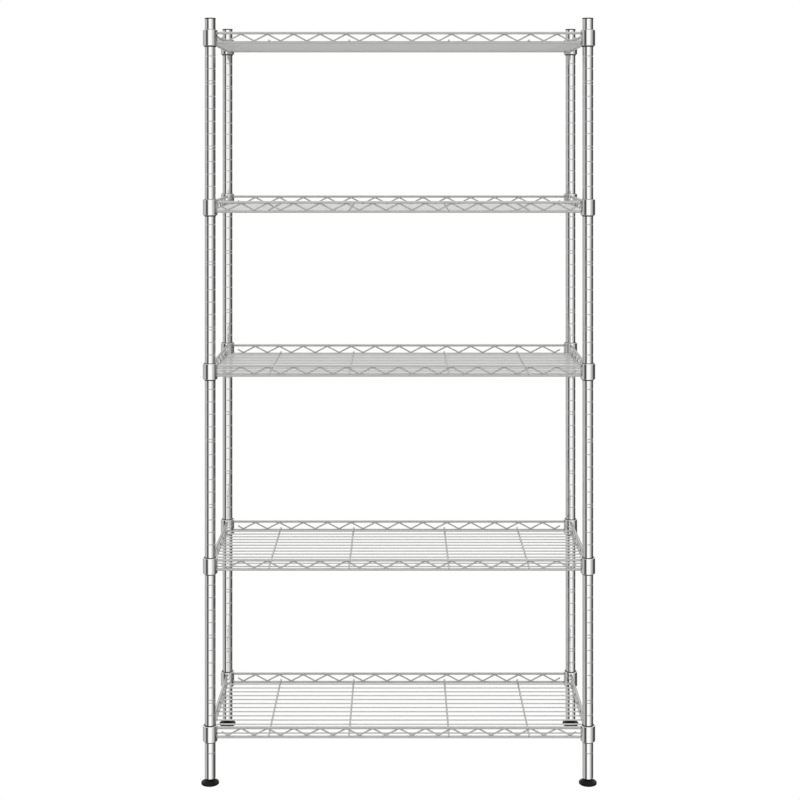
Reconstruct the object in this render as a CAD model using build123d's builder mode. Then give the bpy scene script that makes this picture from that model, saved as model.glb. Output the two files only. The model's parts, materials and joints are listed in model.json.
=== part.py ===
from build123d import *
import os
from math import cos, radians, sin

# Five-tier wire shelving rack: four ringed chrome posts, five welded wire shelves that sit on
# tapered split sleeves, end caps and levelling feet.
# Millimetres. +Z is up, the front faces -Y, and the origin is on the floor under the middle.

# ---- Posts ----
POST_SPACING_X = 772.0
POST_SPACING_Y = 320.0
POST_RADIUS = 11.0
POST_BORE_RADIUS = 9.9
POST_BOTTOM = 12.0
POST_TOP = 1562.8
FOOT_END_CHAMFER = 0.8
TUBE_END_CHAMFER = 0.2

# ---- Rings rolled into the posts, one inch apart, with double rings as height marks ----
RING_PITCH = 25.4
RING_DEPTH = 0.35
RING_TOOL_RADIUS = 1.6
RIB_TOOL_RADIUS = 1.5
DOUBLE_RING_GAP = 5.9
PITCHES_BETWEEN_DOUBLES = 5
FOOT_RING_HEIGHT = 65.0
RING_MARGIN = 3.0

# ---- Shelf heights (centre of the upper frame wire) and the first double ring above each ----
SHELF_LEVELS = [114.2, 456.6, 853.2, 1188.2, 1534.2]
FIRST_DOUBLE_ABOVE = [53.7, 110.2, 75.1, 108.9]

# ---- Shelf wires ----
FRAME_WIRE_RADIUS = 2.75
FRAME_WIRE_DROP = 19.0
TRUSS_WIRE_RADIUS = 1.65
TRUSS_INSET_TOP = 2.6
TRUSS_INSET_BOTTOM = 3.6
TRUSS_SETBACK = 1.2
TRUSS_BEND_RADIUS = 4.0
TRUSS_BEND_RISE = 0.43
TRUSS_FIRST_BEND = 36.0
TRUSS_END = 23.5
TRUSS_PERIODS_X = 13
TRUSS_PERIODS_Y = 5
DECK_WIRE_RADIUS = 1.5
DECK_WIRE_COUNT = 13
DECK_WIRE_PITCH = 23.75
DECK_WIRE_RISE = 1.3
DECK_WIRE_HALF_LENGTH = 384.2
CROSS_WIRE_RADIUS = 1.75
CROSS_WIRE_RISE = 4.3
CROSS_WIRE_OVERHANG = 3.0
CROSS_WIRE_PLACES = [-266.0, -102.0, 102.0, 266.0]

# ---- Corner collars and the split sleeves inside them ----
COLLAR_RADIUS = 15.0
COLLAR_ABOVE = 6.0
COLLAR_BELOW = 7.2
COLLAR_BOTTOM_CHAMFER = 0.5
COLLAR_TOP_CHAMFER = 0.6
COLLAR_WELD_DEPTH = 1.0
SLEEVE_RADIUS_TOP = 12.6
SLEEVE_RADIUS_BOTTOM = 13.4
SLEEVE_ABOVE = 0.7
SLEEVE_BELOW = 2.6
SLEEVE_LIP_RADIUS = 11.6
SLEEVE_SPLIT_ANGLE = 3.0

# ---- Inserts, studs, caps and feet ----
RUNNING_CLEARANCE = 0.05
STUD_RADIUS = 5.0
STUD_CHAMFER = 0.8
INSERT_LENGTH = 24.0
INSERT_RECESS = 0.3
JOINER_LENGTH = 44.0
CAP_RADIUS = 11.4
CAP_THICKNESS = 2.2
CAP_EDGE_FILLET = 0.8
CAP_PLUG_LENGTH = 12.0
CAP_PLUG_WALL = 1.6
PAD_RADIUS = 18.2
PAD_RIM_HEIGHT = 2.6
PAD_SHOULDER_RADIUS = 15.6
PAD_SHOULDER_HEIGHT = 5.0
PAD_NECK_RADIUS = 9.5
PAD_NECK_HEIGHT = 9.2
PAD_TOP = 11.0
PAD_BASE_CHAMFER = 0.7
STUD_HEAD_RADIUS = 7.5
STUD_HEAD_BOTTOM = 3.0
STUD_HEAD_TOP = 7.0
STUD_TIP = 46.0

# ---- Derived places ----
HALF_X = POST_SPACING_X / 2
HALF_Y = POST_SPACING_Y / 2
CORNERS = {
    "front_left": (-HALF_X, -HALF_Y),
    "front_right": (HALF_X, -HALF_Y),
    "rear_left": (-HALF_X, HALF_Y),
    "rear_right": (HALF_X, HALF_Y),
}
SEAT_DROP = FRAME_WIRE_DROP / 2
COLLAR_DROP = FRAME_WIRE_DROP + COLLAR_BELOW
SLEEVE_DROP = COLLAR_DROP + SLEEVE_BELOW
SLEEVE_RISE = COLLAR_ABOVE + SLEEVE_ABOVE
DOUBLE_RING_SPAN = DOUBLE_RING_GAP + PITCHES_BETWEEN_DOUBLES * RING_PITCH
RING_TOOL_PLACE = POST_RADIUS - RING_DEPTH + RING_TOOL_RADIUS
# The two post sections meet in the middle of the second double ring above the second shelf.
POST_JOINT = SHELF_LEVELS[1] + FIRST_DOUBLE_ABOVE[1] + DOUBLE_RING_SPAN + DOUBLE_RING_GAP / 2


def post_axis(x, y):
    """The upright axis at one corner."""
    return Axis((x, y, 0), (0, 0, 1))


def radial_plane(x, y, angle):
    """An upright plane through a post's axis: local x is the radius, local y is the height."""
    turn = radians(angle)
    return Plane((x, y, 0), x_dir=(cos(turn), sin(turn), 0), z_dir=(sin(turn), -cos(turn), 0))


def tier_rings(below, above, first_double):
    """Ring heights between two shelves: evenly pitched, with two double rings."""
    lowest = below + SLEEVE_RISE + RING_MARGIN
    highest = above - SLEEVE_DROP - RING_MARGIN
    first = below + first_double
    rings = []
    height = first
    while height > lowest:
        rings.append(height)
        height -= RING_PITCH
    for step in range(PITCHES_BETWEEN_DOUBLES + 1):
        rings.append(first + DOUBLE_RING_GAP + step * RING_PITCH)
    height = first + DOUBLE_RING_SPAN + DOUBLE_RING_GAP
    while height < highest:
        rings.append(height)
        height += RING_PITCH
    return rings


def post_rings():
    """Every ring on a post: the foot ring, one seat per shelf, and the rings between shelves."""
    rings = [FOOT_RING_HEIGHT]
    rings += [level - SEAT_DROP for level in SHELF_LEVELS]
    for below, above, first_double in zip(SHELF_LEVELS, SHELF_LEVELS[1:], FIRST_DOUBLE_ABOVE):
        rings += tier_rings(below, above, first_double)
    return sorted(rings)


def make_post_section(x, y, bottom, top, bottom_chamfer):
    """One length of post tube with its rings."""
    rings = [height for height in post_rings() if bottom < height < top]
    with BuildPart() as post:
        with BuildSketch(Plane((x, y, bottom))):
            Circle(POST_RADIUS)
            Circle(POST_BORE_RADIUS, mode=Mode.SUBTRACT)
        extrude(amount=top - bottom)
        end_edges = post.edges().filter_by(GeomType.CIRCLE).group_by(SortBy.RADIUS)[-1]
        chamfer(end_edges.sort_by(Axis.Z)[0], length=bottom_chamfer)
        end_edges = post.edges().filter_by(GeomType.CIRCLE).group_by(SortBy.RADIUS)[-1]
        chamfer(end_edges.sort_by(Axis.Z)[-1], length=TUBE_END_CHAMFER)
        with BuildSketch(radial_plane(x, y, 0)):
            with Locations(*[(RING_TOOL_PLACE, height) for height in rings]):
                Circle(RING_TOOL_RADIUS)
        revolve(axis=post_axis(x, y), mode=Mode.SUBTRACT)
    return post


def make_inserts(bottom):
    """Four threaded inserts, pressed into the post tubes."""
    with BuildPart() as inserts:
        with BuildSketch(Plane.XY.offset(bottom)):
            with Locations(*CORNERS.values()):
                Circle(POST_BORE_RADIUS - RUNNING_CLEARANCE)
                Circle(STUD_RADIUS + RUNNING_CLEARANCE, mode=Mode.SUBTRACT)
        extrude(amount=INSERT_LENGTH)
    return inserts


def make_joiner_studs():
    """Four threaded studs that join the lower and upper post sections."""
    with BuildPart() as studs:
        with BuildSketch(Plane.XY.offset(POST_JOINT - JOINER_LENGTH / 2)):
            with Locations(*CORNERS.values()):
                Circle(STUD_RADIUS)
        extrude(amount=JOINER_LENGTH)
        chamfer(studs.edges().filter_by(GeomType.CIRCLE), length=STUD_CHAMFER)
    return studs


def make_post_caps():
    """Four hollow plugs with a flange that close the post tops."""
    plug_radius = POST_BORE_RADIUS - RUNNING_CLEARANCE
    with BuildPart() as caps:
        with BuildSketch(Plane.XY.offset(POST_TOP)):
            with Locations(*CORNERS.values()):
                Circle(CAP_RADIUS)
        extrude(amount=CAP_THICKNESS)
        fillet(caps.edges().filter_by(GeomType.CIRCLE).group_by(Axis.Z)[-1], radius=CAP_EDGE_FILLET)
        with BuildSketch(Plane.XY.offset(POST_TOP)):
            with Locations(*CORNERS.values()):
                Circle(plug_radius)
                Circle(plug_radius - CAP_PLUG_WALL, mode=Mode.SUBTRACT)
        extrude(amount=-CAP_PLUG_LENGTH)
    return caps


def make_foot_pad(x, y):
    """A round glide, moulded round its stud's head so that the stud can turn in it."""
    neck_bore = STUD_RADIUS + RUNNING_CLEARANCE
    head_bore = STUD_HEAD_RADIUS + RUNNING_CLEARANCE
    head_floor = STUD_HEAD_BOTTOM - RUNNING_CLEARANCE
    head_roof = STUD_HEAD_TOP + RUNNING_CLEARANCE
    with BuildPart() as pad:
        with BuildSketch(radial_plane(x, y, 0)):
            with BuildLine():
                Polyline(
                    (0, head_floor),
                    (0, 0),
                    (PAD_RADIUS - PAD_BASE_CHAMFER, 0),
                    (PAD_RADIUS, PAD_BASE_CHAMFER),
                    (PAD_RADIUS, PAD_RIM_HEIGHT),
                )
                shoulder = TangentArc(
                    (PAD_RADIUS, PAD_RIM_HEIGHT),
                    (PAD_SHOULDER_RADIUS, PAD_SHOULDER_HEIGHT),
                    tangent=(0, 1),
                )
                Polyline(
                    shoulder @ 1,
                    (PAD_NECK_RADIUS, PAD_NECK_HEIGHT),
                    (PAD_NECK_RADIUS, PAD_TOP),
                    (neck_bore, PAD_TOP),
                    (neck_bore, head_roof),
                    (head_bore, head_roof),
                    (head_bore, head_floor),
                    (0, head_floor),
                )
            make_face()
        revolve(axis=post_axis(x, y))
    return pad


def make_foot_stud(x, y):
    """A levelling stud with a round head that stays in the pad."""
    with BuildPart() as stud:
        with BuildSketch(Plane((x, y, STUD_HEAD_BOTTOM))):
            Circle(STUD_HEAD_RADIUS)
        extrude(amount=STUD_HEAD_TOP - STUD_HEAD_BOTTOM)
        with BuildSketch(Plane((x, y, STUD_HEAD_TOP))):
            Circle(STUD_RADIUS)
        extrude(amount=STUD_TIP - STUD_HEAD_TOP)
        chamfer(stud.edges().sort_by(Axis.Z)[-1], length=STUD_CHAMFER)
    return stud


def make_sleeve_halves(level, start_angle):
    """Half of each split sleeve on one shelf: a tapered shell with an inner rib for the post's seat ring."""
    inner = POST_RADIUS + RUNNING_CLEARANCE
    seat = level - SEAT_DROP
    rib_tip = RING_TOOL_PLACE - RIB_TOOL_RADIUS
    rib_half_height = (RIB_TOOL_RADIUS**2 - (RING_TOOL_PLACE - inner) ** 2) ** 0.5
    bottom = level - SLEEVE_DROP
    top = level + SLEEVE_RISE
    with BuildPart() as halves:
        for x, y in CORNERS.values():
            with BuildSketch(radial_plane(x, y, start_angle + SLEEVE_SPLIT_ANGLE / 2)):
                with BuildLine():
                    Polyline(
                        (inner, seat - rib_half_height),
                        (inner, bottom),
                        (SLEEVE_LIP_RADIUS, bottom),
                        (SLEEVE_RADIUS_BOTTOM, level - COLLAR_DROP),
                        (SLEEVE_RADIUS_TOP, level + COLLAR_ABOVE),
                        (SLEEVE_RADIUS_TOP, top),
                        (inner, top),
                        (inner, seat + rib_half_height),
                    )
                    ThreePointArc(
                        (inner, seat + rib_half_height), (rib_tip, seat), (inner, seat - rib_half_height)
                    )
                make_face()
            revolve(axis=post_axis(x, y), revolution_arc=180 - SLEEVE_SPLIT_ANGLE)
    return halves


def make_corner_collars(level):
    """Four tubular collars with a tapered bore that matches the sleeves."""
    bottom = level - COLLAR_DROP
    top = level + COLLAR_ABOVE
    bore_bottom = SLEEVE_RADIUS_BOTTOM + RUNNING_CLEARANCE
    bore_top = SLEEVE_RADIUS_TOP + RUNNING_CLEARANCE
    with BuildPart() as collars:
        for x, y in CORNERS.values():
            with BuildSketch(radial_plane(x, y, 0)):
                with BuildLine():
                    Polyline(
                        (bore_bottom, bottom),
                        (COLLAR_RADIUS - COLLAR_BOTTOM_CHAMFER, bottom),
                        (COLLAR_RADIUS, bottom + COLLAR_BOTTOM_CHAMFER),
                        (COLLAR_RADIUS, top - COLLAR_TOP_CHAMFER),
                        (COLLAR_RADIUS - COLLAR_TOP_CHAMFER, top),
                        (bore_top, top),
                        close=True,
                    )
                make_face()
            revolve(axis=post_axis(x, y))
    return collars


def make_frame_wires(level):
    """Eight straight wires between the collars: an upper and a lower one on each side."""
    heights = (level, level - FRAME_WIRE_DROP)
    inset = COLLAR_RADIUS - COLLAR_WELD_DEPTH
    with BuildPart() as wires:
        with BuildSketch(Plane.YZ):
            with Locations(*[(y, z) for y in (-HALF_Y, HALF_Y) for z in heights]):
                Circle(FRAME_WIRE_RADIUS)
        extrude(amount=HALF_X - inset, both=True)
        with BuildSketch(Plane.XZ):
            with Locations(*[(x, z) for x in (-HALF_X, HALF_X) for z in heights]):
                Circle(FRAME_WIRE_RADIUS)
        extrude(amount=HALF_Y - inset, both=True)
    return wires


def truss_points(level, half_span, periods):
    """Corner points of one zigzag wire, in the upright plane of its side."""
    low = level - FRAME_WIRE_DROP + TRUSS_INSET_BOTTOM - TRUSS_BEND_RISE
    high = level - TRUSS_INSET_TOP + TRUSS_BEND_RISE
    first = half_span - TRUSS_FIRST_BEND
    half_period = first / periods
    points = [(TRUSS_END - half_span, (low + high) / 2)]
    for bend in range(2 * periods + 1):
        points.append((bend * half_period - first, high if bend % 2 else low))
    points.append((half_span - TRUSS_END, (low + high) / 2))
    return points


def make_truss_wires(level):
    """Four zigzag wires: the long ones just behind their frame wires, the short ones in line with theirs."""
    sides = [
        (Plane.XZ.offset(HALF_Y - TRUSS_SETBACK), HALF_X, TRUSS_PERIODS_X),
        (Plane.XZ.offset(TRUSS_SETBACK - HALF_Y), HALF_X, TRUSS_PERIODS_X),
        (Plane.YZ.offset(HALF_X), HALF_Y, TRUSS_PERIODS_Y),
        (Plane.YZ.offset(-HALF_X), HALF_Y, TRUSS_PERIODS_Y),
    ]
    with BuildPart() as wires:
        for plane, half_span, periods in sides:
            with BuildLine(plane) as path:
                FilletPolyline(*truss_points(level, half_span, periods), radius=TRUSS_BEND_RADIUS)
            start = path.wire()
            with BuildSketch(Plane(start @ 0, z_dir=start % 0)):
                Circle(TRUSS_WIRE_RADIUS)
            sweep()
    return wires


def make_deck_wires(level):
    """Thirteen lengthwise wires that carry the load, butted onto the lower end wires."""
    height = level - FRAME_WIRE_DROP + DECK_WIRE_RISE
    with BuildPart() as wires:
        with BuildSketch(Plane.YZ):
            with Locations((0, height)):
                with GridLocations(DECK_WIRE_PITCH, 1, DECK_WIRE_COUNT, 1):
                    Circle(DECK_WIRE_RADIUS)
        extrude(amount=DECK_WIRE_HALF_LENGTH, both=True)
    return wires


def make_cross_wires(level):
    """Four front-to-back wires on top of the deck wires and the lower frame wires."""
    height = level - FRAME_WIRE_DROP + CROSS_WIRE_RISE
    with BuildPart() as wires:
        with BuildSketch(Plane.XZ):
            with Locations(*[(x, height) for x in CROSS_WIRE_PLACES]):
                Circle(CROSS_WIRE_RADIUS)
        extrude(amount=HALF_Y + CROSS_WIRE_OVERHANG, both=True)
    return wires


def save(piece, name):
    """Labels a finished piece and writes its STEP file."""
    piece.part.label = name
    export_step(piece.part, f"parts/{name}.step")


os.makedirs("parts", exist_ok=True)

for corner, (post_x, post_y) in CORNERS.items():
    lower = make_post_section(post_x, post_y, POST_BOTTOM, POST_JOINT, FOOT_END_CHAMFER)
    upper = make_post_section(post_x, post_y, POST_JOINT, POST_TOP, TUBE_END_CHAMFER)
    save(lower, f"post_lower_{corner}")
    save(upper, f"post_upper_{corner}")
    save(make_foot_pad(post_x, post_y), f"foot_pad_{corner}")
    save(make_foot_stud(post_x, post_y), f"foot_stud_{corner}")

save(make_inserts(POST_BOTTOM + INSERT_RECESS), "foot_inserts")
save(make_inserts(POST_JOINT - INSERT_RECESS - INSERT_LENGTH), "joiner_inserts_lower")
save(make_inserts(POST_JOINT + INSERT_RECESS), "joiner_inserts_upper")
save(make_joiner_studs(), "joiner_studs")
save(make_post_caps(), "post_caps")

for number, shelf_level in enumerate(SHELF_LEVELS, start=1):
    save(make_sleeve_halves(shelf_level, 0), f"sleeve_halves_rear_{number}")
    save(make_sleeve_halves(shelf_level, 180), f"sleeve_halves_front_{number}")
    save(make_corner_collars(shelf_level), f"shelf_{number}_corner_collars")
    save(make_frame_wires(shelf_level), f"shelf_{number}_frame_wires")
    save(make_truss_wires(shelf_level), f"shelf_{number}_truss_wires")
    save(make_deck_wires(shelf_level), f"shelf_{number}_deck_wires")
    save(make_cross_wires(shelf_level), f"shelf_{number}_cross_wires")
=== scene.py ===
import json
import math
import bpy
import numpy as np
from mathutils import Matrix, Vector


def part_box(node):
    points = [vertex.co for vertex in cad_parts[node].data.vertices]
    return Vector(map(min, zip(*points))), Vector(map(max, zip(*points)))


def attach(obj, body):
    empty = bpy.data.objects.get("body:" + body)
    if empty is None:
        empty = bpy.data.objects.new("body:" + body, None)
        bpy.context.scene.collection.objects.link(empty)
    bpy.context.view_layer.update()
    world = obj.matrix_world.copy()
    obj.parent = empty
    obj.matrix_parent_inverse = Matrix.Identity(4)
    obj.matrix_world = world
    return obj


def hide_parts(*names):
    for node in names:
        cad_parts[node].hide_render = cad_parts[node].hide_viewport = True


# Looks of the five-tier wire shelving rack. Metres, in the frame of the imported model: +Z up,
# the front faces -Y, the origin on the floor under the middle.

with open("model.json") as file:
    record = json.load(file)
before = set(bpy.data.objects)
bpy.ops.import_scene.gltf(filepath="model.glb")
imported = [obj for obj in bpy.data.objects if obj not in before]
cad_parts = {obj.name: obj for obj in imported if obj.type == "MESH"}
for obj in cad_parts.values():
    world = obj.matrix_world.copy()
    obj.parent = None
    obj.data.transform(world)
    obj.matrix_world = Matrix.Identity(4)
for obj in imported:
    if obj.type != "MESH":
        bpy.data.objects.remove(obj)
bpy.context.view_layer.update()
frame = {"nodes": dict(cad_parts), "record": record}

SHELVES = range(1, 6)
CORNERS = ("front_left", "front_right", "rear_left", "rear_right")

# ---- Camera: level, straight on, with a lens shift that keeps the posts upright ----
CAMERA_PLACE = Vector((0.0, -3.324, 1.317))
CAMERA_LENS_MM = 69.64
CAMERA_SENSOR_MM = 36.0
LENS_SHIFT_X = 0.00125
LENS_SHIFT_Y = -0.3259
# The lens shift is full this far from the camera's own place, and gone at the second distance.
SHIFT_HELD_WITHIN = 0.05
SHIFT_GONE_AT = 0.10
CAMERA_CLIP = (0.05, 50.0)

# ---- Studio: what a mirror finish sees round the compass ----
# Angle in degrees from the camera's side, positive to the camera's right, and brightness.
STUDIO_RING = [
    (-180, 0.85), (-174, 0.72), (-165, 0.46), (-150, 0.44), (-119, 0.56), (-85, 0.62), (-68, 0.56),
    (-60, 0.12), (-46, 0.08), (-38, 0.08), (-31, 0.18), (-23, 0.95), (-16, 1.25), (15, 1.25),
    (27, 1.18), (35, 1.00), (40, 0.78), (60, 0.60), (72, 0.55), (80, 0.13), (100, 0.08),
    (118, 0.08), (128, 0.10), (150, 0.10), (165, 0.25), (174, 0.72), (180, 0.85),
]
# The ring fills the band between these heights, in degrees, and fades out over the second number.
RING_FLOOR = (-25.0, 7.0)
RING_ROOF = (8.0, 7.0)
# Above and below the ring: height in degrees and brightness, on the camera's side and behind the rack.
FRONT_HEIGHTS = [
    (-90, 0.75), (-62, 0.65), (-46, 0.34), (-25, 0.28), (0, 0.18), (38, 0.22), (50, 1.05), (90, 1.10),
]
BACK_HEIGHTS = [(-90, 0.62), (-40, 0.60), (0, 0.98), (25, 1.08), (60, 1.02), (90, 1.00)]
BACKDROP_WHITE = 1.0
SOFT_FILL = 0.75
# The camera's side blends into the far side over this much of the sideways direction.
SIDE_BLEND = 0.2
# Name, place, width and height, and power in watts. Every lamp points at the middle of the rack.
LAMP_TARGET = (0.0, 0.0, 0.8)
SOFT_BOXES = [
    ("key", (-2.2, -3.0, 3.2), (2.0, 2.0), 110),
    ("fill", (2.6, -2.4, 2.0), (2.0, 2.0), 60),
    ("top", (0.0, 0.4, 3.6), (2.6, 2.0), 70),
]
FLOOR_HALF_SIZE = 20.0
FLOOR_GREY = 0.05
FLOOR_GLOW = 0.965

# ---- Post rings: painted shade in the ring grooves, the plate darker inside this radius ----
GROOVE_SHADE_RADIUS = 0.0109
GROOVE_SHADE_FADE = 0.0002
GROOVE_SHADE = 0.88

# ---- Weld beads ----
BEAD_RINGS = 5
BEAD_SIDES = 10
BEAD_ROUGHNESS = 0.10
CROSSING_BEAD = (0.0017, 0.0017, 0.0006)
DECK_END_BEAD = (0.0011, 0.0018, 0.0018)
CROSS_END_BEAD = (0.0021, 0.0022, 0.0008)
APEX_BEAD_LENGTH = 0.0030
APEX_BEAD_WIDTH = 0.0018
APEX_BEAD_HEIGHT = 0.0009
COLLAR_BEAD_RADIUS = 0.0032
COLLAR_BEAD_THICKNESS = 0.0011
# Points closer together than the first gap are one wire, and than the second are one zigzag bend.
WIRE_GAP = 0.005
BEND_GAP = 0.012
RAIL_REACH = 0.006
TOUCH_TOLERANCE = 0.0002

# ---- Levelling thread, M10 x 1.5 ----
THREAD_PITCH = 0.0015
THREAD_DEPTH = 0.00088
THREAD_STEPS_PER_TURN = 32
THREAD_RINGS_PER_PITCH = 10
THREAD_RUNOUT = 0.0012
THREAD_ROOT_SHARE = 0.12
THREAD_FLANK_SHARE = 0.70
STUD_HEAD_BEVEL = 0.0006
SHARP_EDGE_ANGLE = 50


# =====================================================================================
# Shader helpers
# =====================================================================================

class Graph:
    """Makes and links shader nodes in one tree."""

    def __init__(self, tree):
        self.tree = tree
        tree.nodes.clear()

    def node(self, kind, settings=None, **inputs):
        made = self.tree.nodes.new(kind)
        for key, value in (settings or {}).items():
            setattr(made, key, value)
        for key, value in inputs.items():
            self.feed(made, key.replace("_", " "), value)
        return made

    def feed(self, node, name, value):
        socket = node.inputs[int(name)] if name.isdigit() else node.inputs[name]
        if isinstance(value, bpy.types.NodeSocket):
            self.tree.links.new(value, socket)
        else:
            socket.default_value = value

    def math(self, operation, a, b=0.0):
        made = self.node("ShaderNodeMath", {"operation": operation})
        self.feed(made, "0", a)
        self.feed(made, "1", b)
        return made.outputs[0]

    def remap(self, value, low, high, to_low, to_high, smooth=False):
        made = self.node("ShaderNodeMapRange", {"clamp": True}, Value=value)
        made.interpolation_type = "SMOOTHSTEP" if smooth else "LINEAR"
        for name, number in (("From Min", low), ("From Max", high), ("To Min", to_low), ("To Max", to_high)):
            self.feed(made, name, number)
        return made.outputs["Result"]

    def place(self, stretch=(1.0, 1.0, 1.0)):
        """The point on the piece, in metres, so a finish stays put when the piece moves."""
        coords = self.node("ShaderNodeTexCoord").outputs["Object"]
        mapping = self.node("ShaderNodeMapping", Vector=coords, Scale=stretch)
        return mapping.outputs["Vector"]

    def noise(self, scale, detail=3.0, stretch=(1.0, 1.0, 1.0)):
        made = self.node("ShaderNodeTexNoise", Vector=self.place(stretch), Scale=scale, Detail=detail)
        return made.outputs["Fac"]

    def bump(self, height, distance, strength, normal=None):
        made = self.node("ShaderNodeBump", Height=height, Distance=distance, Strength=strength)
        if normal is not None:
            self.feed(made, "Normal", normal)
        return made.outputs["Normal"]

    def mix(self, factor, first, second):
        """A blend of two colours, each a value or another node's output."""
        made = self.node("ShaderNodeMix", {"data_type": "RGBA"})
        self.feed(made, "0", factor)
        self.feed(made, "6", first)
        self.feed(made, "7", second)
        return made.outputs[2]

    def shade(self, factor, dark, light):
        """A colour between two fixed colours."""
        return self.mix(factor, (*dark, 1.0), (*light, 1.0))

    def darken(self, colour, factor):
        """A colour scaled by a factor."""
        made = self.node("ShaderNodeVectorMath", {"operation": "SCALE"}, Scale=factor)
        self.feed(made, "0", colour)
        return made.outputs[0]

    def surface(self, **inputs):
        shader = self.node("ShaderNodeBsdfPrincipled", **inputs)
        self.node("ShaderNodeOutputMaterial", Surface=shader.outputs["BSDF"])
        return shader


def new_material(name):
    material = bpy.data.materials.new(name)
    material.use_nodes = True
    return material, Graph(material.node_tree)


# =====================================================================================
# Materials
# =====================================================================================

def plated_tube(name):
    """Bright chrome plate on drawn tube: long draw lines, a little orange peel, faint handling smudges."""
    material, g = new_material(name)
    smudge = g.noise(28.0, 4.0)
    draw_lines = g.noise(900.0, 2.0, stretch=(1.0, 1.0, 0.012))
    peel = g.noise(420.0, 2.0)
    plate = g.shade(smudge, (0.76, 0.765, 0.76), (0.83, 0.83, 0.815))
    groove_edge = GROOVE_SHADE_RADIUS - GROOVE_SHADE_FADE
    # Painted shade: the plate colour is darkened in the bottoms of the post's ring grooves.
    tint = g.darken(plate, g.remap(post_reach(g), groove_edge, GROOVE_SHADE_RADIUS, GROOVE_SHADE, 1.0))
    rough = g.math("ADD", g.remap(smudge, 0.45, 0.75, 0.045, 0.10), g.remap(draw_lines, 0.3, 0.8, 0.0, 0.035))
    lines = g.bump(draw_lines, 0.00001, 0.10)
    skin = g.bump(peel, 0.00004, 0.05, lines)
    g.surface(Base_Color=tint, Metallic=1.0, Roughness=rough, Normal=skin)
    return material


def post_reach(g):
    """Distance from the nearest post's axis."""
    low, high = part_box("post_lower_front_right")
    parts = g.node("ShaderNodeSeparateXYZ", Vector=g.place())
    gaps = []
    for letter, middle in (("X", (low.x + high.x) / 2), ("Y", (low.y + high.y) / 2)):
        gap = g.math("SUBTRACT", g.math("ABSOLUTE", parts.outputs[letter]), abs(middle))
        gaps.append(g.math("POWER", g.math("ABSOLUTE", gap), 2.0))
    return g.math("SQRT", g.math("ADD", *gaps))


def plated_collar(name):
    """Bright chrome plate on a turned collar: fine lathe rings under the plate."""
    material, g = new_material(name)
    smudge = g.noise(45.0, 4.0)
    lathe = g.noise(2600.0, 2.0, stretch=(0.004, 0.004, 1.0))
    peel = g.noise(380.0, 2.0)
    tint = g.shade(smudge, (0.75, 0.755, 0.75), (0.83, 0.83, 0.815))
    rough = g.math("ADD", g.remap(smudge, 0.45, 0.75, 0.05, 0.11), g.remap(lathe, 0.3, 0.8, 0.0, 0.04))
    rings = g.bump(lathe, 0.00001, 0.12)
    skin = g.bump(peel, 0.00005, 0.06, rings)
    g.surface(Base_Color=tint, Metallic=1.0, Roughness=rough, Normal=skin)
    return material


def plated_wire(name, dark, light):
    """Chrome-plated wire: a softer mirror than the tube, with small pits and flow marks."""
    material, g = new_material(name)
    patch = g.noise(60.0, 4.0)
    pits = g.noise(1800.0, 3.0)
    flow = g.noise(500.0, 2.0, stretch=(0.06, 0.06, 1.0))
    tint = g.shade(patch, dark, light)
    rough = g.math("ADD", g.remap(patch, 0.35, 0.7, 0.28, 0.36), g.remap(pits, 0.55, 0.75, 0.0, 0.08))
    marks = g.bump(flow, 0.00001, 0.10)
    skin = g.bump(pits, 0.00002, 0.08, marks)
    g.surface(Base_Color=tint, Metallic=1.0, Roughness=rough, Normal=skin)
    return material


def plated_bead(name):
    """Weld beads under the plate: rippled, duller and a touch darker than the wire."""
    material, g = new_material(name)
    ripple = g.noise(1500.0, 4.0)
    stain = g.noise(260.0, 3.0)
    tint = g.shade(stain, (0.50, 0.49, 0.475), (0.70, 0.70, 0.69))
    rough = g.remap(ripple, 0.3, 0.7, 0.26, 0.42)
    skin = g.bump(ripple, 0.00012, 0.35)
    g.surface(Base_Color=tint, Metallic=1.0, Roughness=rough, Normal=skin)
    return material


def zinc_steel(name):
    """Bright zinc on turned steel: brushed rings, a faint blue passivation and duller patches."""
    material, g = new_material(name)
    patch = g.noise(140.0, 4.0)
    turned = g.noise(2400.0, 2.0, stretch=(0.01, 0.01, 1.0))
    tint = g.shade(patch, (0.54, 0.56, 0.60), (0.68, 0.68, 0.66))
    rough = g.math("ADD", g.remap(patch, 0.3, 0.7, 0.24, 0.36), g.remap(turned, 0.3, 0.8, 0.0, 0.08))
    skin = g.bump(turned, 0.00002, 0.20)
    g.surface(Base_Color=tint, Metallic=1.0, Roughness=rough, Normal=skin)
    return material


def moulded_plastic(name, dark, light, roughness, shine, grain_scale, grain_height):
    """Moulded black plastic: spark-eroded grain, a cloudy sheen, and a black that varies a little."""
    material, g = new_material(name)
    cloud = g.noise(55.0, 3.0)
    cells = g.node("ShaderNodeTexVoronoi", Vector=g.place(), Scale=grain_scale).outputs["Distance"]
    fine = g.noise(grain_scale * 1.7, 3.0)
    grain = g.math("ADD", g.math("MULTIPLY", cells, 0.6), g.math("MULTIPLY", fine, 0.4))
    tint = g.shade(g.remap(cloud, 0.35, 0.7, 0.0, 1.0), dark, light)
    rough = g.math("ADD", g.remap(cloud, 0.3, 0.7, roughness - 0.06, roughness + 0.06),
                   g.remap(fine, 0.3, 0.7, -0.03, 0.03))
    skin = g.bump(grain, grain_height, 0.5)
    shader = g.surface(Base_Color=tint, Metallic=0.0, Roughness=rough, Normal=skin)
    shader.inputs["Specular IOR Level"].default_value = shine
    return material


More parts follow.
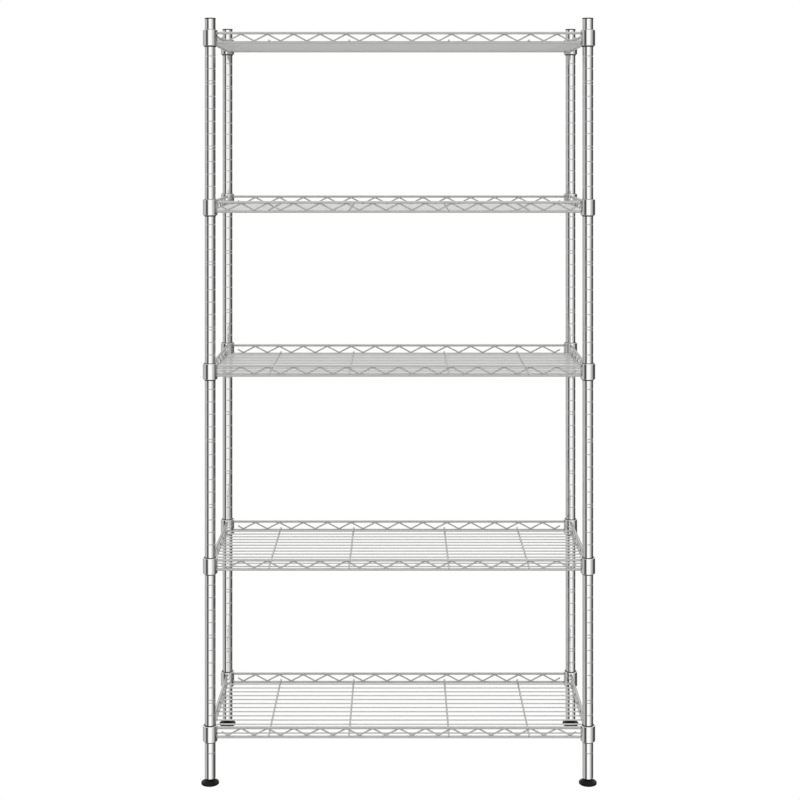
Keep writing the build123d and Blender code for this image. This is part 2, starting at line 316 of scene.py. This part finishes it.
FINISHES = {
    "post_tube": plated_tube("post_tube_plate"),
    "collar_chrome": plated_collar("collar_plate"),
    "wire_chrome": plated_wire("wire_plate", (0.72, 0.725, 0.705), (0.79, 0.795, 0.775)),
    "zinc_steel": zinc_steel("zinc_plate"),
    "black_plastic": moulded_plastic(
        "sleeve_plastic", (0.008, 0.008, 0.008), (0.016, 0.016, 0.016), 0.46, 0.25, 2400.0, 0.00005),
    "foot_plastic": moulded_plastic(
        "pad_plastic", (0.002, 0.002, 0.002), (0.005, 0.005, 0.005), 0.42, 0.14, 1600.0, 0.00006),
}
# Painted shade: the frame and truss wires are darker copies of the deck wires' chrome, and the cross wires
# are darker still.
EDGE_WIRE_PAINTED_SHADE = plated_wire("edge_wire_plate_painted_shade", (0.60, 0.602, 0.59), (0.68, 0.682, 0.67))
CROSS_WIRE_PAINTED_SHADE = plated_wire("cross_wire_plate_painted_shade", (0.50, 0.505, 0.49), (0.58, 0.585, 0.57))
BEAD_FINISH = plated_bead("weld_bead_plate")


def finish_cad_nodes():
    for part in frame["record"]["subparts"]:
        node = frame["nodes"][part["node"]]
        finish = FINISHES[part["material_slot"]]
        # The cross, frame and truss wires take the darker copies with painted shade.
        if part["node"].endswith("cross_wires"):
            finish = CROSS_WIRE_PAINTED_SHADE
        elif part["node"].endswith(("frame_wires", "truss_wires")):
            finish = EDGE_WIRE_PAINTED_SHADE
        node.data.materials.clear()
        node.data.materials.append(finish)


# =====================================================================================
# Reading places off the CAD nodes
# =====================================================================================

def points_of(node):
    data = frame["nodes"][node].data
    flat = np.zeros(len(data.vertices) * 3, np.float32)
    data.vertices.foreach_get("co", flat)
    return flat.reshape(-1, 3).astype(float)


def clusters(values, gap):
    """Middles of the groups of numbers that lie closer together than the gap."""
    ordered = np.unique(np.round(values, 6))
    breaks = np.nonzero(np.diff(ordered) > gap)[0]
    starts = np.concatenate(([0], breaks + 1))
    ends = np.concatenate((breaks, [len(ordered) - 1]))
    return [(ordered[a] + ordered[b]) / 2 for a, b in zip(starts, ends)]


# =====================================================================================
# Weld beads
# =====================================================================================

def bead(centre, radii, seed):
    """Vertices and faces of one small lumpy bead."""
    vertices = [(0.0, 0.0, -1.0)]
    for ring in range(1, BEAD_RINGS):
        tilt = math.pi * ring / BEAD_RINGS
        for side in range(BEAD_SIDES):
            turn = 2 * math.pi * side / BEAD_SIDES
            lump = 1 + BEAD_ROUGHNESS * math.sin(3 * turn + 1.7 * seed) * math.sin(tilt + 0.9 * seed)
            vertices.append((
                lump * math.sin(tilt) * math.cos(turn),
                lump * math.sin(tilt) * math.sin(turn),
                -math.cos(tilt),
            ))
    vertices.append((0.0, 0.0, 1.0))
    top = len(vertices) - 1
    faces = []
    for side in range(BEAD_SIDES):
        after = (side + 1) % BEAD_SIDES
        faces.append((0, 1 + after, 1 + side))
        for ring in range(BEAD_RINGS - 2):
            low = 1 + ring * BEAD_SIDES
            high = low + BEAD_SIDES
            faces.append((low + side, low + after, high + after, high + side))
        last = 1 + (BEAD_RINGS - 2) * BEAD_SIDES
        faces.append((last + side, last + after, top))
    placed = [tuple(c + v * r for c, v, r in zip(centre, vertex, radii)) for vertex in vertices]
    return placed, faces


def bead_places(shelf):
    """Centre and radii of every weld bead on one shelf, read from the shelf's own wires."""
    deck_node = f"shelf_{shelf}_deck_wires"
    cross_node = f"shelf_{shelf}_cross_wires"
    deck_low, deck_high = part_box(deck_node)
    cross_low, cross_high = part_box(cross_node)
    frame_low, frame_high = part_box(f"shelf_{shelf}_frame_wires")
    deck_ys = clusters(points_of(deck_node)[:, 1], WIRE_GAP)
    cross_xs = clusters(points_of(cross_node)[:, 0], WIRE_GAP)
    levels = clusters(points_of(f"shelf_{shelf}_frame_wires")[:, 2], WIRE_GAP)
    frame_radius = levels[0] - frame_low.z
    rails_y = (frame_low.y + frame_radius, frame_high.y - frame_radius)
    rails_x = (frame_low.x + frame_radius, frame_high.x - frame_radius)
    places = []
    crossing_z = (deck_high.z + cross_low.z) / 2
    for x in cross_xs:
        for y in deck_ys:
            places.append(((x, y, crossing_z), CROSSING_BEAD))
        for y in rails_y:
            places.append(((x, y, (levels[0] + frame_radius + cross_low.z) / 2), CROSS_END_BEAD))
    deck_z = (deck_low.z + deck_high.z) / 2
    for y in deck_ys:
        for x in (deck_low.x, deck_high.x):
            places.append(((x, y, deck_z), DECK_END_BEAD))
    places += apex_places(shelf, rails_x, rails_y, levels, frame_radius)
    places += collar_places(shelf, rails_x, rails_y, levels)
    return places


def apex_places(shelf, rails_x, rails_y, levels, frame_radius):
    """Beads where the zigzag wires touch the frame wires."""
    zigzag = points_of(f"shelf_{shelf}_truss_wires")
    places = []
    for level, inward in ((levels[0], 1), (levels[1], -1)):
        touch = level + inward * frame_radius
        near = zigzag[np.abs(zigzag[:, 2] - level) < frame_radius + TOUCH_TOLERANCE]
        for y in rails_y:
            on_rail = near[np.abs(near[:, 1] - y) < RAIL_REACH]
            for x in clusters(on_rail[:, 0], BEND_GAP):
                size = (APEX_BEAD_LENGTH, APEX_BEAD_WIDTH, APEX_BEAD_HEIGHT)
                places.append(((x, y, touch), size))
        for x in rails_x:
            on_rail = near[np.abs(near[:, 0] - x) < RAIL_REACH]
            for y in clusters(on_rail[:, 1], BEND_GAP):
                size = (APEX_BEAD_WIDTH, APEX_BEAD_LENGTH, APEX_BEAD_HEIGHT)
                places.append(((x, y, touch), size))
    return places


def collar_places(shelf, rails_x, rails_y, levels):
    """Beads where the frame wires run into the corner collars."""
    low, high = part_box(f"shelf_{shelf}_corner_collars")
    reach = rails_x[0] - low.x
    places = []
    for x in rails_x:
        for y in rails_y:
            for z in levels:
                inward_x = x - math.copysign(reach, x)
                inward_y = y - math.copysign(reach, y)
                along_x = (COLLAR_BEAD_THICKNESS, COLLAR_BEAD_RADIUS, COLLAR_BEAD_RADIUS)
                along_y = (COLLAR_BEAD_RADIUS, COLLAR_BEAD_THICKNESS, COLLAR_BEAD_RADIUS)
                places.append(((inward_x, y, z), along_x))
                places.append(((x, inward_y, z), along_y))
    return places


def add_mesh(name, vertices, faces, material, smooth=True):
    data = bpy.data.meshes.new(name)
    data.from_pydata(vertices, [], faces)
    data.validate()
    data.polygons.foreach_set("use_smooth", [smooth] * len(data.polygons))
    data.materials.append(material)
    piece = bpy.data.objects.new(name, data)
    bpy.context.scene.collection.objects.link(piece)
    return piece


def add_weld_beads(shelf):
    vertices = []
    faces = []
    for seed, (centre, radii) in enumerate(bead_places(shelf)):
        bead_vertices, bead_faces = bead(centre, radii, seed)
        start = len(vertices)
        vertices += bead_vertices
        faces += [tuple(start + i for i in face) for face in bead_faces]
    piece = add_mesh(f"shelf_{shelf}_weld_beads", vertices, faces, BEAD_FINISH)
    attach(piece, f"shelf_{shelf}")


# =====================================================================================
# Levelling studs
# =====================================================================================

def thread_radius(height, turn, low, high, crest):
    """Radius of a thread of about 60 degrees, flat at crest and root, fading out at both ends."""
    phase = (height / THREAD_PITCH - turn / (2 * math.pi)) % 1.0
    flank = min(1.0, max(0.0, (abs(2 * phase - 1) - THREAD_ROOT_SHARE) / THREAD_FLANK_SHARE))
    fade = min(1.0, (height - low) / THREAD_RUNOUT, (high - height) / THREAD_RUNOUT)
    return crest - THREAD_DEPTH * (1 - flank) * max(0.0, fade)


def add_levelling_stud(corner):
    """The threaded stud with its round head, which stands for the plain CAD stud."""
    node = f"foot_stud_{corner}"
    low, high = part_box(node)
    x = (low.x + high.x) / 2
    y = (low.y + high.y) / 2
    outline = points_of(node)
    reach = np.hypot(outline[:, 0] - x, outline[:, 1] - y)
    head_radius = reach.max()
    shank = outline[:, 2] > (low.z + high.z) / 2
    crest = reach[shank].max()
    head_top = outline[reach > head_radius - TOUCH_TOLERANCE][:, 2].max()
    head_profile = [
        (low.z, head_radius - STUD_HEAD_BEVEL),
        (low.z + STUD_HEAD_BEVEL, head_radius),
        (head_top - STUD_HEAD_BEVEL, head_radius),
        (head_top, head_radius - STUD_HEAD_BEVEL),
        (head_top, crest),
    ]
    count = int((high.z - head_top) / THREAD_PITCH * THREAD_RINGS_PER_PITCH)
    thread_heights = [head_top + (high.z - head_top) * i / count for i in range(1, count + 1)]
    vertices = []
    for z, radius in head_profile:
        vertices += ring_of_points(x, y, z, [radius] * THREAD_STEPS_PER_TURN)
    for z in thread_heights:
        radii = [thread_radius(z, 2 * math.pi * i / THREAD_STEPS_PER_TURN, head_top, high.z, crest)
                 for i in range(THREAD_STEPS_PER_TURN)]
        vertices += ring_of_points(x, y, z, radii)
    rows = len(vertices) // THREAD_STEPS_PER_TURN
    faces = []
    for row in range(rows - 1):
        for i in range(THREAD_STEPS_PER_TURN):
            after = (i + 1) % THREAD_STEPS_PER_TURN
            base = row * THREAD_STEPS_PER_TURN
            faces.append((base + i, base + after, base + THREAD_STEPS_PER_TURN + after,
                          base + THREAD_STEPS_PER_TURN + i))
    faces.append(tuple(reversed(range(THREAD_STEPS_PER_TURN))))
    last = (rows - 1) * THREAD_STEPS_PER_TURN
    faces.append(tuple(range(last, last + THREAD_STEPS_PER_TURN)))
    piece = add_mesh(f"levelling_stud_{corner}", vertices, faces, FINISHES["zinc_steel"])
    piece.data.set_sharp_from_angle(angle=math.radians(SHARP_EDGE_ANGLE))
    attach(piece, f"stud_{corner}")
    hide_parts(node)


def ring_of_points(x, y, z, radii):
    points = []
    for i, radius in enumerate(radii):
        turn = 2 * math.pi * i / len(radii)
        points.append((x + radius * math.cos(turn), y + radius * math.sin(turn), z))
    return points


# =====================================================================================
# Studio
# =====================================================================================

def build_world():
    """White to the camera, an even fill for plain surfaces, and a ring of soft boxes for the chrome."""
    world = bpy.data.worlds.new("studio")
    world.use_nodes = True
    bpy.context.scene.world = world
    g = Graph(world.node_tree)
    direction = g.node("ShaderNodeTexCoord").outputs["Generated"]
    parts = g.node("ShaderNodeSeparateXYZ", Vector=direction)
    toward_camera = g.math("MULTIPLY", parts.outputs["Y"], -1.0)
    compass = g.math("ARCTAN2", parts.outputs["X"], toward_camera)
    position = g.remap(compass, -math.pi, math.pi, 0.0, 1.0)
    ring = g.node("ShaderNodeValToRGB", Fac=position)
    set_ramp(ring.color_ramp, STUDIO_RING, -180, 180)
    height = g.math("MULTIPLY", g.math("ARCSINE", parts.outputs["Z"]), 180 / math.pi)
    band = g.remap(height, -90.0, 90.0, 0.0, 1.0)
    front = g.node("ShaderNodeValToRGB", Fac=band)
    back = g.node("ShaderNodeValToRGB", Fac=band)
    set_ramp(front.color_ramp, FRONT_HEIGHTS, -90, 90)
    set_ramp(back.color_ramp, BACK_HEIGHTS, -90, 90)
    side = g.remap(toward_camera, -SIDE_BLEND, SIDE_BLEND, 0.0, 1.0, smooth=True)
    shell = g.mix(side, back.outputs["Color"], front.outputs["Color"])
    over = g.remap(height, RING_ROOF[0], sum(RING_ROOF), 0.0, 1.0, smooth=True)
    under = g.remap(height, RING_FLOOR[0] - RING_FLOOR[1], RING_FLOOR[0], 1.0, 0.0, smooth=True)
    mirror = g.mix(g.math("ADD", over, under), ring.outputs["Color"], shell)
    path = g.node("ShaderNodeLightPath")
    fill = blend_light(g, path.outputs["Is Diffuse Ray"], mirror, SOFT_FILL)
    seen = blend_light(g, path.outputs["Is Camera Ray"], fill, BACKDROP_WHITE)
    background = g.node("ShaderNodeBackground", Color=seen, Strength=1.0)
    g.node("ShaderNodeOutputWorld", Surface=background.outputs["Background"])


def blend_light(g, factor, colour, level):
    return g.mix(factor, colour, (level, level, level, 1.0))


def set_ramp(ramp, table, low, high):
    while len(ramp.elements) > 1:
        ramp.elements.remove(ramp.elements[-1])
    for i, (angle, level) in enumerate(table):
        place = (angle - low) / (high - low)
        stop = ramp.elements[0] if i == 0 else ramp.elements.new(place)
        stop.position = place
        stop.color = (level, level, level, 1.0)


def add_soft_box(name, place, size, power):
    light = bpy.data.lights.new(name, "AREA")
    light.shape = "RECTANGLE"
    light.size, light.size_y = size
    light.energy = power
    lamp = bpy.data.objects.new(name, light)
    lamp.location = place
    lamp.rotation_euler = (Vector(LAMP_TARGET) - Vector(place)).to_track_quat("-Z", "Y").to_euler()
    lamp.visible_glossy = False
    lamp.visible_camera = False
    bpy.context.scene.collection.objects.link(lamp)


def add_floor():
    """A plain pale floor that lights the rack from below.

    The camera sees the white backdrop in its place, so a foot pad that is wound down below the
    floor still shows, and the chrome looks past the floor into the studio.
    """
    half = FLOOR_HALF_SIZE
    corners = [(-half, -half, 0.0), (half, -half, 0.0), (half, half, 0.0), (-half, half, 0.0)]
    material, g = new_material("pale_floor")
    pale = g.node("ShaderNodeBsdfDiffuse", Color=(FLOOR_GREY, FLOOR_GREY, FLOOR_GREY, 1.0), Roughness=0.6)
    glow = g.node("ShaderNodeEmission", Color=(1.0, 1.0, 1.0, 1.0), Strength=FLOOR_GLOW)
    lit = g.node("ShaderNodeAddShader")
    g.feed(lit, "0", pale.outputs["BSDF"])
    g.feed(lit, "1", glow.outputs["Emission"])
    clear = g.node("ShaderNodeBsdfTransparent")
    back = g.node("ShaderNodeNewGeometry").outputs["Backfacing"]
    sided = g.node("ShaderNodeMixShader")
    g.feed(sided, "0", back)
    g.feed(sided, "1", lit.outputs["Shader"])
    g.feed(sided, "2", clear.outputs["BSDF"])
    g.node("ShaderNodeOutputMaterial", Surface=sided.outputs["Shader"])
    floor = add_mesh("floor", corners, [(0, 1, 2, 3)], material, smooth=False)
    floor.visible_glossy = False
    floor.visible_camera = False


def add_camera():
    data = bpy.data.cameras.new("camera")
    data.lens = CAMERA_LENS_MM
    data.sensor_width = CAMERA_SENSOR_MM
    data.clip_start, data.clip_end = CAMERA_CLIP
    camera = bpy.data.objects.new("camera", data)
    camera.location = CAMERA_PLACE
    camera.rotation_euler = (math.radians(90), 0.0, 0.0)
    bpy.context.scene.collection.objects.link(camera)
    bpy.context.scene.camera = camera
    home = bpy.data.objects.new("camera_home", None)
    home.location = CAMERA_PLACE
    bpy.context.scene.collection.objects.link(home)
    shift_at_home(camera, home, "shift_x", LENS_SHIFT_X)
    shift_at_home(camera, home, "shift_y", LENS_SHIFT_Y)


def shift_at_home(camera, home, setting, amount):
    """The lens shift holds only near the camera's own place, so any other viewpoint stays centred."""
    setattr(camera.data, setting, amount)
    curve = camera.data.driver_add(setting)
    curve.driver.type = "SUM"
    away = curve.driver.variables.new()
    away.name = "distance_from_home"
    away.type = "LOC_DIFF"
    away.targets[0].id = camera
    away.targets[1].id = home
    for modifier in list(curve.modifiers):
        curve.modifiers.remove(modifier)
    for distance, held in ((0.0, amount), (SHIFT_HELD_WITHIN, amount), (SHIFT_GONE_AT, 0.0)):
        curve.keyframe_points.insert(distance, held).interpolation = "LINEAR"
    curve.extrapolation = "CONSTANT"


# =====================================================================================
# Build
# =====================================================================================

finish_cad_nodes()
for shelf in SHELVES:
    add_weld_beads(shelf)
for corner in CORNERS:
    add_levelling_stud(corner)

build_world()
for soft_box in SOFT_BOXES:
    add_soft_box(*soft_box)
add_floor()
add_camera()
bpy.context.scene.view_settings.view_transform = "Standard"
